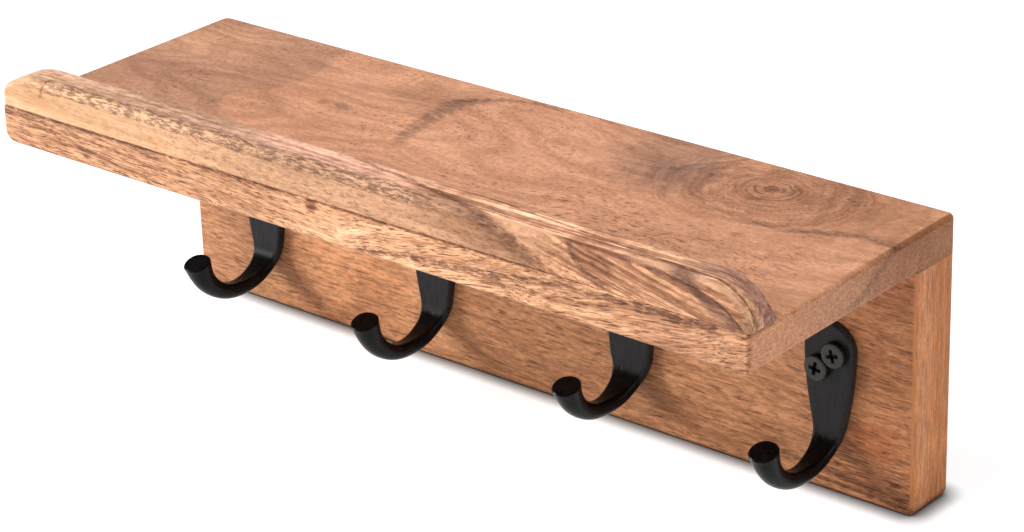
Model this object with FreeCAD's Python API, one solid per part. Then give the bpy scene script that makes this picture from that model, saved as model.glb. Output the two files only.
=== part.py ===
import FreeCAD, Part
import collections
import math
import os

# A small wooden wall shelf with a raised front lip and four forged J hooks on its back board.
# Millimetres. +X to the right, +Y towards the wall, +Z up.
# The origin is the centre of the back board's rear face, which stands against the wall.

Vector = FreeCAD.Vector

# Overall sizes
SHELF_WIDTH = 254.0
SHELF_DEPTH = 88.9
OVERALL_HEIGHT = 88.9

# Boards
BACK_THICKNESS = 17.5
SHELF_THICKNESS = 10.5
LIP_HEIGHT = 10.0
LIP_DEPTH = 11.0

# Rounded upper corners of the lip: a wide arc from the top and a tight one into the end.
# The right corner takes the lip's whole height, and the left one starts higher up.
LIP_RIGHT_CROWN_RADIUS = 15.0
LIP_RIGHT_END_RADIUS = 6.0
LIP_LEFT_CROWN_RADIUS = 22.0
LIP_LEFT_END_RADIUS = 4.5
LIP_LEFT_CORNER_HEIGHT = 7.0

# Sanded edges
REAR_CORNER_ROUND = 2.4
FOOT_ROUND = 2.0
BACK_FRONT_ROUND = 1.2
SHELF_TOP_ROUND = 1.2
SHELF_NOSE_ROUND = 0.8
SHELF_RIGHT_LOWER_ROUND = 1.5
SHELF_LEFT_LOWER_ROUND = 5.0
SHELF_UPRIGHT_ROUND = 1.0
LIP_FRONT_ROUND = 1.8
LIP_REAR_ROUND = 1.2
SEAM_GROOVE = 0.3

# Dowels between shelf and back board
SHELF_DOWEL_DIAMETER = 6.0
SHELF_DOWEL_SINK = 18.0
SHELF_DOWEL_COVER = 4.0
SHELF_DOWEL_MARGIN = 22.0
SHELF_DOWEL_COUNT = 4

# Dowels between lip and shelf
LIP_DOWEL_DIAMETER = 4.0
LIP_DOWEL_COVER = 3.5
LIP_DOWEL_FLOOR = 4.5
LIP_DOWEL_MARGIN = 37.0
LIP_DOWEL_COUNT = 3

# Both kinds of dowel
DOWEL_CHAMFER = 0.6
DOWEL_END_GAP = 0.5

# Places of the hooks: the outer two from the board's ends, the inner two evenly between them
HOOK_LEFT_MARGIN = 29.8
HOOK_RIGHT_MARGIN = 24.8
HOOK_FOOT_DROP = 47.7

# Hook plate: a round top that narrows more and more towards the foot
PLATE_RADIUS = 7.5
PLATE_THICKNESS = 2.6
PLATE_LENGTH = 21.0
PLATE_NARROWING = 1.8
PLATE_FOOT_WIDTH = 9.8
PLATE_FOOT_RELIEF = 0.08
PLATE_FRONT_ROUND = 0.7
PLATE_BACK_ROUND = 0.3

# Hook bar: a tight bend off the wall, a wide bowl and a flared round tip
BEND_RADIUS = 8.0
BEND_TURN = 50.0
BOWL_RADIUS = 16.0
TIP_LEAN = 19.0
TIP_LENGTH = 3.0
NECK_WIDTH = 5.1
NECK_THICKNESS = 4.4
NECK_INNER_ROUND = 1.5
NECK_OUTER_ROUND = 1.9
NECK_GROWTH = 1.5
TIP_DIAMETER = 8.0
TIP_FLAT = 0.2
TIP_CHAMFER = 0.35
TIP_WIDTH_GROWTH = 3
TIP_THICKNESS_GROWTH = 2

# What hand forging and fitting add to each hook's place and sizes, from left to right
Forging = collections.namedtuple("Forging", "across up plate foot_width bowl_radius tip_length")
FORGINGS = [
    Forging(across=0.0, up=-0.5, plate=0.0, foot_width=0.8, bowl_radius=0.0, tip_length=0.0),
    Forging(across=-1.0, up=-1.4, plate=0.0, foot_width=0.8, bowl_radius=0.4, tip_length=0.6),
    Forging(across=2.0, up=0.2, plate=-4.6, foot_width=3.0, bowl_radius=-0.6, tip_length=-1.0),
    Forging(across=0.0, up=0.0, plate=0.0, foot_width=0.0, bowl_radius=0.0, tip_length=0.0),
]

# Hook screws
HOOK_SCREW_ACROSS = 2.6
HOOK_SCREW_RISE = 2.45
HOOK_SCREW_DROP = 2.8
HOOK_SCREW_DIAMETER = 3.5
HOOK_SCREW_CLEARANCE = 0.25
HOOK_SCREW_HEAD_DIAMETER = 7.0
HOOK_SCREW_HEAD_HEIGHT = 2.2
HOOK_SCREW_HEAD_ROUND = 0.7
HOOK_SCREW_COVER = 4.0
HOOK_SCREW_POINT = 3.0
HOOK_RECESS_REACH = 4.0
HOOK_RECESS_WIDTH = 1.1
HOOK_RECESS_DEPTH = 1.5
HOOK_SCREW_FIRST_TURN = 20.0
HOOK_SCREW_TURN_STEP = 25.0

# Keyhole hangers on the rear
HANGER_SPACING = 127.0
HANGER_DROP = 27.0
HANGER_LENGTH = 38.0
HANGER_WIDTH = 15.0
HANGER_THICKNESS = 1.5
HANGER_INSET = 0.2
HANGER_CLEARANCE = 0.15
KEYHOLE_ENTRY_DIAMETER = 9.5
KEYHOLE_SLOT_WIDTH = 5.0
KEYHOLE_TRAVEL = 10.0
KEYHOLE_POCKET_CLEARANCE = 0.5
KEYHOLE_POCKET_DEPTH = 8.5

# Hanger screws
HANGER_SCREW_EDGE = 4.5
HANGER_SCREW_DIAMETER = 2.9
HANGER_SCREW_HEAD_DIAMETER = 5.8
HANGER_SCREW_LENGTH = 12.0
HANGER_SCREW_POINT = 2.5
HANGER_RECESS_REACH = 3.2
HANGER_RECESS_WIDTH = 0.9
HANGER_RECESS_DEPTH = 1.6
HANGER_SCREW_FIRST_TURN = 10.0
HANGER_SCREW_TURN_STEP = 33.0

# Stations of the hook's lofts, the points tested on an edge and the tolerance for picking it
PLATE_STATIONS = 7
BEND_STATIONS = 4
BOWL_STATIONS = 8
PICK_POINTS = 5
PICK_TOLERANCE = 0.001

# How far the middle of a quarter round lies inside its corner, for a radius of 1
QUARTER_MIDDLE = 1 - math.sqrt(0.5)

# Levels and planes worked out from the sizes above
half_width = SHELF_WIDTH / 2
board_height = OVERALL_HEIGHT - LIP_HEIGHT - SHELF_THICKNESS
board_bottom = -board_height / 2
board_top = board_height / 2
shelf_top = board_top + SHELF_THICKNESS
lip_top = shelf_top + LIP_HEIGHT
board_front = -BACK_THICKNESS
shelf_front = -SHELF_DEPTH
lip_rear = shelf_front + LIP_DEPTH
hook_screw_length = PLATE_THICKNESS + BACK_THICKNESS - HOOK_SCREW_COVER


# Small helpers

def block(low, high):
    """A box between two corners."""
    size = high - low
    return Part.makeBox(size.x, size.y, size.z, low)


def lies_on(edge, axis, value):
    """True where every point of the edge lies on the plane axis = value."""
    return all(abs(getattr(p, axis) - value) < PICK_TOLERANCE for p in edge.discretize(PICK_POINTS))


def edges_on(shape, axis, value):
    """The edges of the shape that lie on the plane axis = value."""
    return [edge for edge in shape.Edges if lies_on(edge, axis, value)]


def without(edges, axis, value):
    """The edges that don't lie on the plane axis = value."""
    return [edge for edge in edges if not lies_on(edge, axis, value)]


def uprights_on(shape, y):
    """The edges along Z at the given depth."""
    return [edge for edge in edges_on(shape, "y", y) if edge.BoundBox.XLength < PICK_TOLERANCE
            and edge.BoundBox.ZLength > PICK_TOLERANCE]


def slot_prism(width, low_z, high_z, low_y, high_y):
    """A prism along Y with round ends: the ends' centres are at low_z and high_z, on x = 0."""
    radius = width / 2
    right_low = Vector(radius, low_y, low_z)
    right_high = Vector(radius, low_y, high_z)
    left_high = Vector(-radius, low_y, high_z)
    left_low = Vector(-radius, low_y, low_z)
    crown = Vector(0, low_y, high_z + radius)
    foot = Vector(0, low_y, low_z - radius)
    outline = Part.Wire([
        Part.makeLine(right_low, right_high),
        Part.Arc(right_high, crown, left_high).toShape(),
        Part.makeLine(left_high, left_low),
        Part.Arc(left_low, foot, right_low).toShape(),
    ])
    return Part.Face(outline).extrude(Vector(0, high_y - low_y, 0))


def along_y(radius, length, start):
    """A round bar along +Y."""
    return Part.makeCylinder(radius, length, start, Vector(0, 1, 0))


def evenly(low, high, count):
    """Evenly spaced places from low to high."""
    step = (high - low) / (count - 1)
    return [low + step * index for index in range(count)]


def turned(profile_edges):
    """A solid turned about Z from an outline in the XZ plane."""
    return Part.Face(Part.Wire(profile_edges)).revolve(Vector(0, 0, 0), Vector(0, 0, 1), 360)


# Dowels

def make_dowel(diameter, place, low_z, high_z):
    """An upright dowel with chamfered ends."""
    dowel = Part.makeCylinder(diameter / 2, high_z - low_z, Vector(place.x, place.y, low_z))
    rims = edges_on(dowel, "z", low_z) + edges_on(dowel, "z", high_z)
    return dowel.makeChamfer(DOWEL_CHAMFER, rims)


def dowel_hole(diameter, place, low_z, high_z):
    """The hole for a dowel, a little deeper than the dowel at both ends."""
    depth = high_z - low_z + 2 * DOWEL_END_GAP
    return Part.makeCylinder(diameter / 2, depth, Vector(place.x, place.y, low_z - DOWEL_END_GAP))


shelf_dowel_reach = half_width - SHELF_DOWEL_MARGIN
shelf_dowel_places = [Vector(x, board_front / 2, 0)
                      for x in evenly(-shelf_dowel_reach, shelf_dowel_reach, SHELF_DOWEL_COUNT)]
shelf_dowel_low = board_top - SHELF_DOWEL_SINK
shelf_dowel_high = shelf_top - SHELF_DOWEL_COVER

lip_dowel_reach = half_width - LIP_DOWEL_MARGIN
lip_dowel_places = [Vector(x, shelf_front + LIP_DEPTH / 2, 0)
                    for x in evenly(-lip_dowel_reach, lip_dowel_reach, LIP_DOWEL_COUNT)]
lip_dowel_low = board_top + LIP_DOWEL_FLOOR
lip_dowel_high = lip_top - LIP_DOWEL_COVER


# Screws, made along Z with the head's seat at z = 0 and the point down

def cross_recess(reach, width, depth, turn):
    """The cutter for a cross recess that opens at z = 0 and narrows downwards."""
    arm = block(Vector(-reach / 2, -width / 2, -depth), Vector(reach / 2, width / 2, 0))
    other = arm.copy()
    other.rotate(Vector(0, 0, 0), Vector(0, 0, 1), 90)
    cone = Part.makeCone(0, reach / 2, 2 * depth, Vector(0, 0, -2 * depth))
    cutter = arm.fuse(other).common(cone)
    cutter.rotate(Vector(0, 0, 0), Vector(0, 0, 1), turn)
    return cutter


def hook_screw_shank(length):
    """The plain shank and point of a hook screw, below its seat."""
    radius = HOOK_SCREW_DIAMETER / 2
    straight = length - HOOK_SCREW_POINT
    shank = Part.makeCylinder(radius, straight, Vector(0, 0, -straight))
    point = Part.makeCone(0, radius, HOOK_SCREW_POINT, Vector(0, 0, -length))
    return shank.fuse(point).removeSplitter()


def make_hook_screw(length, turn):
    """A pan-head screw: a flat head with a rounded rim and a cross recess."""
    head_radius = HOOK_SCREW_HEAD_DIAMETER / 2
    top = Vector(0, 0, HOOK_SCREW_HEAD_HEIGHT)
    head = Part.makeCylinder(head_radius, HOOK_SCREW_HEAD_HEIGHT)
    head = head.makeFillet(HOOK_SCREW_HEAD_ROUND, edges_on(head, "z", HOOK_SCREW_HEAD_HEIGHT))
    recess = cross_recess(HOOK_RECESS_REACH, HOOK_RECESS_WIDTH, HOOK_RECESS_DEPTH, turn)
    recess.translate(top)
    return head.fuse(hook_screw_shank(length)).cut(recess)


def hanger_screw_body():
    """A countersunk screw without its recess: the face at z = 0, a right-angled head, shank and point."""
    radius = HANGER_SCREW_DIAMETER / 2
    head_radius = HANGER_SCREW_HEAD_DIAMETER / 2
    head_depth = head_radius - radius
    face = Vector(head_radius, 0, 0)
    neck = Vector(radius, 0, -head_depth)
    shoulder = Vector(radius, 0, HANGER_SCREW_POINT - HANGER_SCREW_LENGTH)
    point = Vector(0, 0, -HANGER_SCREW_LENGTH)
    middle = Vector(0, 0, 0)
    return turned([
        Part.makeLine(middle, face),
        Part.makeLine(face, neck),
        Part.makeLine(neck, shoulder),
        Part.makeLine(shoulder, point),
        Part.makeLine(point, middle),
    ])


def face_front(shape, place):
    """Turns a screw's head to the front and seats it at the place."""
    shape.rotate(Vector(0, 0, 0), Vector(1, 0, 0), 90)
    shape.translate(place)
    return shape


def face_rear(shape, place):
    """Turns a screw's head to the wall and seats it at the place."""
    shape.rotate(Vector(0, 0, 0), Vector(1, 0, 0), -90)
    shape.translate(place)
    return shape


# Hooks, made with the plate's round top centred on the origin and its back on y = 0

def bar_section(out, z, angle, width, thickness, inner_round, outer_round):
    """A rounded rectangle square to the bar's path.

    out and z place its centre, out being the distance from the board, and angle is the path's
    direction in degrees above level. The inner side faces the hook's bowl.
    """
    slope = math.radians(angle)
    half = width / 2
    deep = thickness / 2

    def place(across, inward):
        return Vector(across, -(out - inward * math.sin(slope)), z + inward * math.cos(slope))

    def corner(side, level, radius):
        middle = radius * QUARTER_MIDDLE
        along = place(side * (half - radius), level * deep)
        bend = place(side * (half - middle), level * (deep - middle))
        up = place(side * half, level * (deep - radius))
        return along, bend, up

    outer_left = corner(-1, -1, outer_round)
    outer_right = corner(1, -1, outer_round)
    inner_right = corner(1, 1, inner_round)
    inner_left = corner(-1, 1, inner_round)
    return Part.Wire([
        Part.makeLine(outer_left[0], outer_right[0]),
        Part.Arc(outer_right[0], outer_right[1], outer_right[2]).toShape(),
        Part.makeLine(outer_right[2], inner_right[2]),
        Part.Arc(inner_right[2], inner_right[1], inner_right[0]).toShape(),
        Part.makeLine(inner_right[0], inner_left[0]),
        Part.Arc(inner_left[0], inner_left[1], inner_left[2]).toShape(),
        Part.makeLine(inner_left[2], outer_left[2]),
        Part.Arc(outer_left[2], outer_left[1], outer_left[0]).toShape(),
    ])


def plate_section(z, width):
    """The plate's cross-section at a height."""
    middle = PLATE_THICKNESS / 2
    return bar_section(middle, z, -90, width, PLATE_THICKNESS, PLATE_FRONT_ROUND, PLATE_BACK_ROUND)


def plate_crown():
    """The plate's round top: half of its cross-section turned through half a circle."""
    back_bend = PLATE_BACK_ROUND * QUARTER_MIDDLE
    front_bend = PLATE_FRONT_ROUND * QUARTER_MIDDLE
    points = {
        "back_middle": Vector(0, 0, 0),
        "back": Vector(PLATE_RADIUS - PLATE_BACK_ROUND, 0, 0),
        "back_bend": Vector(PLATE_RADIUS - back_bend, -back_bend, 0),
        "side_back": Vector(PLATE_RADIUS, -PLATE_BACK_ROUND, 0),
        "side_front": Vector(PLATE_RADIUS, PLATE_FRONT_ROUND - PLATE_THICKNESS, 0),
        "front_bend": Vector(PLATE_RADIUS - front_bend, front_bend - PLATE_THICKNESS, 0),
        "front": Vector(PLATE_RADIUS - PLATE_FRONT_ROUND, -PLATE_THICKNESS, 0),
        "front_middle": Vector(0, -PLATE_THICKNESS, 0),
    }
    outline = Part.Wire([
        Part.makeLine(points["back_middle"], points["back"]),
        Part.Arc(points["back"], points["back_bend"], points["side_back"]).toShape(),
        Part.makeLine(points["side_back"], points["side_front"]),
        Part.Arc(points["side_front"], points["front_bend"], points["front"]).toShape(),
        Part.makeLine(points["front"], points["front_middle"]),
        Part.makeLine(points["front_middle"], points["back_middle"]),
    ])
    return Part.Face(outline).revolve(Vector(0, 0, 0), Vector(0, 1, 0), -180)


def blend(low, high, share):
    """The value between low and high at a share of the way."""
    return low + (high - low) * share


def foot_width_of(forging):
    """The width of a hook's plate at its foot."""
    return PLATE_FOOT_WIDTH + forging.foot_width


def plate_sections(foot_z, forging):
    """The plate's cross-sections from the centre of its round top down to just above its foot."""
    sections = []
    for share in evenly(0, 1, PLATE_STATIONS)[:-1]:
        width = blend(2 * PLATE_RADIUS, foot_width_of(forging), share ** PLATE_NARROWING)
        sections.append(plate_section(foot_z * share, width))
    return sections


def bar_sections(foot_z, forging):
    """The bar's cross-sections from the plate's foot, round the bowl, to the end of the tip, and its rim."""
    foot_width = foot_width_of(forging)
    foot_thickness = PLATE_THICKNESS - PLATE_FOOT_RELIEF
    bowl_radius = BOWL_RADIUS + forging.bowl_radius
    bowl_start = BEND_TURN - 90
    bowl_end = 90 - TIP_LEAN
    bend_angles = evenly(-90, bowl_start, BEND_STATIONS + 1)
    bowl_angles = evenly(bowl_start, bowl_end, BOWL_STATIONS + 1)[1:]
    path = []
    for angle in bend_angles:
        slope = math.radians(angle)
        out = PLATE_THICKNESS - foot_thickness / 2 + BEND_RADIUS * (1 + math.sin(slope))
        path.append((out, foot_z - BEND_RADIUS * math.cos(slope), angle))
    start_out, start_z, start_angle = path[-1]
    start = math.radians(start_angle)
    for angle in bowl_angles:
        slope = math.radians(angle)
        out = start_out + bowl_radius * (math.sin(slope) - math.sin(start))
        path.append((out, start_z + bowl_radius * (math.cos(start) - math.cos(slope)), angle))
    last_out, last_z, last_angle = path[-1]
    lean = math.radians(last_angle)
    shaft = TIP_LENGTH + forging.tip_length - TIP_CHAMFER
    path.append((last_out + shaft * math.cos(lean), last_z + shaft * math.sin(lean), last_angle))

    bowl_length = bowl_radius * math.radians(bowl_end)
    neck_room = min(NECK_WIDTH, NECK_THICKNESS) / 2
    tip_room = TIP_DIAMETER / 2
    tip_round = tip_room - TIP_FLAT / 2
    sections = []
    for index, (out, z, angle) in enumerate(path):
        if angle <= 0:
            share = (angle + 90) / 90
            width = blend(foot_width, NECK_WIDTH, share)
            thickness = blend(foot_thickness, NECK_THICKNESS, share ** NECK_GROWTH)
            inner_round = blend(PLATE_FRONT_ROUND, NECK_INNER_ROUND, share)
            outer_round = blend(PLATE_BACK_ROUND, NECK_OUTER_ROUND, share)
        else:
            past = bowl_radius * math.radians(angle)
            if index == len(path) - 1:
                past = bowl_length + shaft
            share = past / (bowl_length + shaft)
            width = blend(NECK_WIDTH, TIP_DIAMETER, share ** TIP_WIDTH_GROWTH)
            thickness = blend(NECK_THICKNESS, TIP_DIAMETER, share ** TIP_THICKNESS_GROWTH)
            room = min(width, thickness) / 2
            inner_round = room * blend(NECK_INNER_ROUND / neck_room, tip_round / tip_room, share)
            outer_round = room * blend(NECK_OUTER_ROUND / neck_room, tip_round / tip_room, share)
        sections.append(bar_section(out, z, angle, width, thickness, inner_round, outer_round))

    end_out, end_z, end_angle = path[-1]
    rim_diameter = TIP_DIAMETER - 2 * TIP_CHAMFER
    rim_out = end_out + TIP_CHAMFER * math.cos(lean)
    rim_z = end_z + TIP_CHAMFER * math.sin(lean)
    rim_round = tip_round - TIP_CHAMFER
    rim = bar_section(rim_out, rim_z, end_angle, rim_diameter, rim_diameter, rim_round, rim_round)
    return sections, rim


def make_hook(forging):
    """One forged hook: plate, bar and tip in one piece, with two screw holes."""
    foot_z = -PLATE_LENGTH - forging.plate
    sections, rim = bar_sections(foot_z, forging)
    plate = Part.makeLoft(plate_sections(foot_z, forging) + [sections[0]], True, True)
    bar = Part.makeLoft(sections, True, False)
    end = Part.makeLoft([sections[-1], rim], True, True)
    hook = plate_crown().multiFuse([plate, bar, end]).removeSplitter()
    hole_radius = HOOK_SCREW_DIAMETER / 2 + HOOK_SCREW_CLEARANCE
    for seat in hook_screw_seats():
        hook = hook.cut(along_y(hole_radius, PLATE_THICKNESS, seat))
    return hook.Solids[0]


def hook_screw_seats():
    """Where the two screws sit on the plate's front, low left and high right."""
    return [Vector(side * HOOK_SCREW_ACROSS, -PLATE_THICKNESS, side * HOOK_SCREW_RISE - HOOK_SCREW_DROP)
            for side in (-1, 1)]


def hook_places():
    """The centre of each hook plate's round top, on the front of the back board."""
    xs = evenly(HOOK_LEFT_MARGIN - half_width, half_width - HOOK_RIGHT_MARGIN, len(FORGINGS))
    z = board_top - HOOK_FOOT_DROP + PLATE_LENGTH
    return [Vector(x + forging.across, board_front, z + forging.up + forging.plate)
            for x, forging in zip(xs, FORGINGS)]


# Keyhole hangers

hanger_z = board_top - HANGER_DROP
hanger_front = -HANGER_INSET - HANGER_THICKNESS
hanger_round_offset = HANGER_LENGTH / 2 - HANGER_WIDTH / 2
keyhole_entry_z = -KEYHOLE_TRAVEL / 2
keyhole_slot_z = KEYHOLE_TRAVEL / 2


def hanger_places():
    """The centre of each hanger plate, in the plane of the board's rear face."""
    return [Vector(side * HANGER_SPACING / 2, 0, hanger_z) for side in (-1, 1)]


def hanger_screw_seats():
    """Where the two hanger screws' faces lie, from the centre of the plate."""
    offset = HANGER_LENGTH / 2 - HANGER_SCREW_EDGE
    return [Vector(0, -HANGER_INSET, offset), Vector(0, -HANGER_INSET, -offset)]


def make_hanger():
    """A plate with round ends, a keyhole and two countersunk holes."""
    plate = slot_prism(HANGER_WIDTH, -hanger_round_offset, hanger_round_offset, hanger_front, -HANGER_INSET)
    slot = slot_prism(KEYHOLE_SLOT_WIDTH, keyhole_entry_z, keyhole_slot_z, hanger_front, -HANGER_INSET)
    entry = along_y(KEYHOLE_ENTRY_DIAMETER / 2, HANGER_THICKNESS, Vector(0, hanger_front, keyhole_entry_z))
    plate = plate.cut(slot.fuse(entry))
    for seat in hanger_screw_seats():
        plate = plate.cut(face_rear(hanger_screw_body(), seat))
    return plate


def hanger_housing():
    """The cutter for the hanger's recess, with a deeper pocket for the wall screw's head."""
    width = HANGER_WIDTH + 2 * HANGER_CLEARANCE
    recess = slot_prism(width, -hanger_round_offset, hanger_round_offset, hanger_front, 0)
    pocket_width = KEYHOLE_ENTRY_DIAMETER + 2 * KEYHOLE_POCKET_CLEARANCE
    pocket_floor = hanger_front - KEYHOLE_POCKET_DEPTH
    pocket = slot_prism(pocket_width, keyhole_entry_z, keyhole_slot_z, pocket_floor, hanger_front)
    return recess.fuse(pocket)


# Boards

def seam_groove():
    """The fine groove along the front where lip and shelf meet."""
    outline = Part.makePolygon([
        Vector(-half_width, shelf_front, shelf_top - SEAM_GROOVE),
        Vector(-half_width, shelf_front + SEAM_GROOVE, shelf_top),
        Vector(-half_width, shelf_front, shelf_top + SEAM_GROOVE),
        Vector(-half_width, shelf_front, shelf_top - SEAM_GROOVE),
    ])
    return Part.Face(outline).extrude(Vector(SHELF_WIDTH, 0, 0))


def make_back_board():
    """The upright plank, with its sanded edges, screw holes, dowel holes and hanger recesses."""
    board = block(Vector(-half_width, board_front, board_bottom), Vector(half_width, 0, board_top))
    board = board.makeFillet(REAR_CORNER_ROUND, uprights_on(board, 0))
    board = board.makeFillet(FOOT_ROUND, without(edges_on(board, "z", board_bottom), "y", board_front))
    board = board.makeFillet(BACK_FRONT_ROUND, without(edges_on(board, "y", board_front), "z", board_top))
    for place in shelf_dowel_places:
        board = board.cut(dowel_hole(SHELF_DOWEL_DIAMETER, place, shelf_dowel_low, shelf_dowel_high))
    for place in hook_places():
        for seat in hook_screw_seats():
            board = board.cut(face_front(hook_screw_shank(hook_screw_length), place + seat))
    for place in hanger_places():
        housing = hanger_housing()
        housing.translate(place)
        board = board.cut(housing)
        for seat in hanger_screw_seats():
            board = board.cut(face_rear(hanger_screw_body(), place + seat))
    return board


def upright_corner(side):
    """The cutter that rounds one of the shelf's front upright edges."""
    radius = SHELF_UPRIGHT_ROUND
    inner_x = side * (half_width - radius)
    outer_x = side * half_width
    low = Vector(min(inner_x, outer_x), shelf_front, board_top)
    high = Vector(max(inner_x, outer_x), shelf_front + radius, shelf_top)
    rod = Part.makeCylinder(radius, SHELF_THICKNESS, Vector(inner_x, shelf_front + radius, board_top))
    return block(low, high).cut(rod)


def lower_corner(side, radius):
    """The cutter that rounds the lower edge of one of the shelf's ends, as far as the back board."""
    inner_x = side * (half_width - radius)
    outer_x = side * half_width
    low = Vector(min(inner_x, outer_x), shelf_front, board_top)
    high = Vector(max(inner_x, outer_x), board_front, board_top + radius)
    axis = Vector(inner_x, shelf_front, board_top + radius)
    rod = Part.makeCylinder(radius, board_front - shelf_front, axis, Vector(0, 1, 0))
    return block(low, high).cut(rod)


def make_shelf_board():
    """The level plank, with its sanded edges and dowel holes."""
    board = block(Vector(-half_width, shelf_front, board_top), Vector(half_width, 0, shelf_top))
    board = board.makeFillet(REAR_CORNER_ROUND, uprights_on(board, 0))
    board = board.makeFillet(SHELF_TOP_ROUND, without(edges_on(board, "z", shelf_top), "y", shelf_front))
    nose = [edge for edge in edges_on(board, "y", shelf_front) if lies_on(edge, "z", board_top)]
    board = board.makeFillet(SHELF_NOSE_ROUND, nose)
    for side, lower_round in ((-1, SHELF_LEFT_LOWER_ROUND), (1, SHELF_RIGHT_LOWER_ROUND)):
        board = board.cut(upright_corner(side))
        board = board.cut(lower_corner(side, lower_round))
    board = board.cut(seam_groove())
    for place in shelf_dowel_places:
        board = board.cut(dowel_hole(SHELF_DOWEL_DIAMETER, place, shelf_dowel_low, shelf_dowel_high))
    for place in lip_dowel_places:
        board = board.cut(dowel_hole(LIP_DOWEL_DIAMETER, place, lip_dowel_low, lip_dowel_high))
    return board


def lip_corner(side, end_radius, crown_radius, corner_height):
    """The edges of one upper corner of the lip, with their lowest and highest points."""
    pull = crown_radius - end_radius
    joint = math.asin((crown_radius - corner_height) / pull)
    end_centre = Vector(side * (half_width - end_radius), shelf_front, lip_top - corner_height)
    crown_centre = end_centre - Vector(side * pull * math.cos(joint), 0, pull * math.sin(joint))

    def at(centre, radius, angle):
        return centre + Vector(side * radius * math.cos(angle), 0, radius * math.sin(angle))

    foot = Vector(side * half_width, shelf_front, shelf_top)
    start = at(end_centre, end_radius, 0)
    end_middle = at(end_centre, end_radius, joint / 2)
    meeting = at(end_centre, end_radius, joint)
    crown_middle = at(crown_centre, crown_radius, (joint + math.pi / 2) / 2)
    top = at(crown_centre, crown_radius, math.pi / 2)
    edges = [Part.Arc(start, end_middle, meeting).toShape(), Part.Arc(meeting, crown_middle, top).toShape()]
    if corner_height < LIP_HEIGHT:
        edges.append(Part.makeLine(foot, start))
    return edges, foot, top


def make_front_lip():
    """The strip along the shelf's front edge, with rounded upper corners and eased edges."""
    left_height = min(LIP_LEFT_CORNER_HEIGHT, LIP_HEIGHT)
    right_edges, right_foot, right_top = lip_corner(
        1, LIP_RIGHT_END_RADIUS, LIP_RIGHT_CROWN_RADIUS, LIP_HEIGHT)
    left_edges, left_foot, left_top = lip_corner(
        -1, LIP_LEFT_END_RADIUS, LIP_LEFT_CROWN_RADIUS, left_height)
    top_line = Part.makeLine(right_top, left_top)
    bottom_line = Part.makeLine(left_foot, right_foot)
    outline = Part.Wire(Part.__sortEdges__(right_edges + [top_line] + left_edges + [bottom_line]))
    lip = Part.Face(outline).extrude(Vector(0, LIP_DEPTH, 0))
    lip = lip.makeFillet(LIP_FRONT_ROUND, without(edges_on(lip, "y", shelf_front), "z", shelf_top))
    lip = lip.makeFillet(LIP_REAR_ROUND, without(edges_on(lip, "y", lip_rear), "z", shelf_top))
    lip = lip.cut(seam_groove())
    for place in lip_dowel_places:
        lip = lip.cut(dowel_hole(LIP_DOWEL_DIAMETER, place, lip_dowel_low, lip_dowel_high))
    return lip


# The assembly, one node for each piece

def build_nodes():
    """Every piece of the shelf in its place, by name."""
    nodes = {
        "back_board": make_back_board(),
        "shelf_board": make_shelf_board(),
        "front_lip": make_front_lip(),
    }
    for index, place in enumerate(shelf_dowel_places, 1):
        nodes[f"shelf_dowel_{index}"] = make_dowel(
            SHELF_DOWEL_DIAMETER, place, shelf_dowel_low, shelf_dowel_high)
    for index, place in enumerate(lip_dowel_places, 1):
        nodes[f"lip_dowel_{index}"] = make_dowel(LIP_DOWEL_DIAMETER, place, lip_dowel_low, lip_dowel_high)

    hook_turn = HOOK_SCREW_FIRST_TURN
    for index, (place, forging) in enumerate(zip(hook_places(), FORGINGS), 1):
        hook = make_hook(forging)
        hook.translate(place)
        nodes[f"hook_{index}"] = hook
        for name, seat in zip(("lower", "upper"), hook_screw_seats()):
            screw = make_hook_screw(hook_screw_length, hook_turn)
            nodes[f"hook_{index}_{name}_screw"] = face_front(screw, place + seat)
            hook_turn += HOOK_SCREW_TURN_STEP

    hanger_turn = HANGER_SCREW_FIRST_TURN
    for side, place in zip(("left", "right"), hanger_places()):
        hanger = make_hanger()
        hanger.translate(place)
        nodes[f"{side}_keyhole_hanger"] = hanger
        for name, seat in zip(("upper", "lower"), hanger_screw_seats()):
            recess = cross_recess(HANGER_RECESS_REACH, HANGER_RECESS_WIDTH, HANGER_RECESS_DEPTH, hanger_turn)
            screw = hanger_screw_body().cut(recess)
            nodes[f"{side}_hanger_{name}_screw"] = face_rear(screw, place + seat)
            hanger_turn += HANGER_SCREW_TURN_STEP
    return nodes


os.makedirs("parts", exist_ok=True)
for node_name, solid in build_nodes().items():
    print(node_name, "valid" if solid.isValid() else "INVALID", len(solid.Solids), round(solid.Volume, 2))
    solid.exportStep(f"parts/{node_name}.step")
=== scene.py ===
"""The looks of a small wooden wall shelf with forged hooks: finishes, floor, light and camera.

Lengths are millimetres in the part's own frame unless a name says otherwise: +X to the right,
+Y to the wall, +Z up, with the origin in the middle of the back board's rear face.
"""

from __future__ import annotations

import logging
import math
from dataclasses import dataclass, field
from enum import Enum
from typing import Any, Callable, Dict, Sequence, Tuple, Union

import bpy
from mathutils import Matrix, Vector


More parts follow.
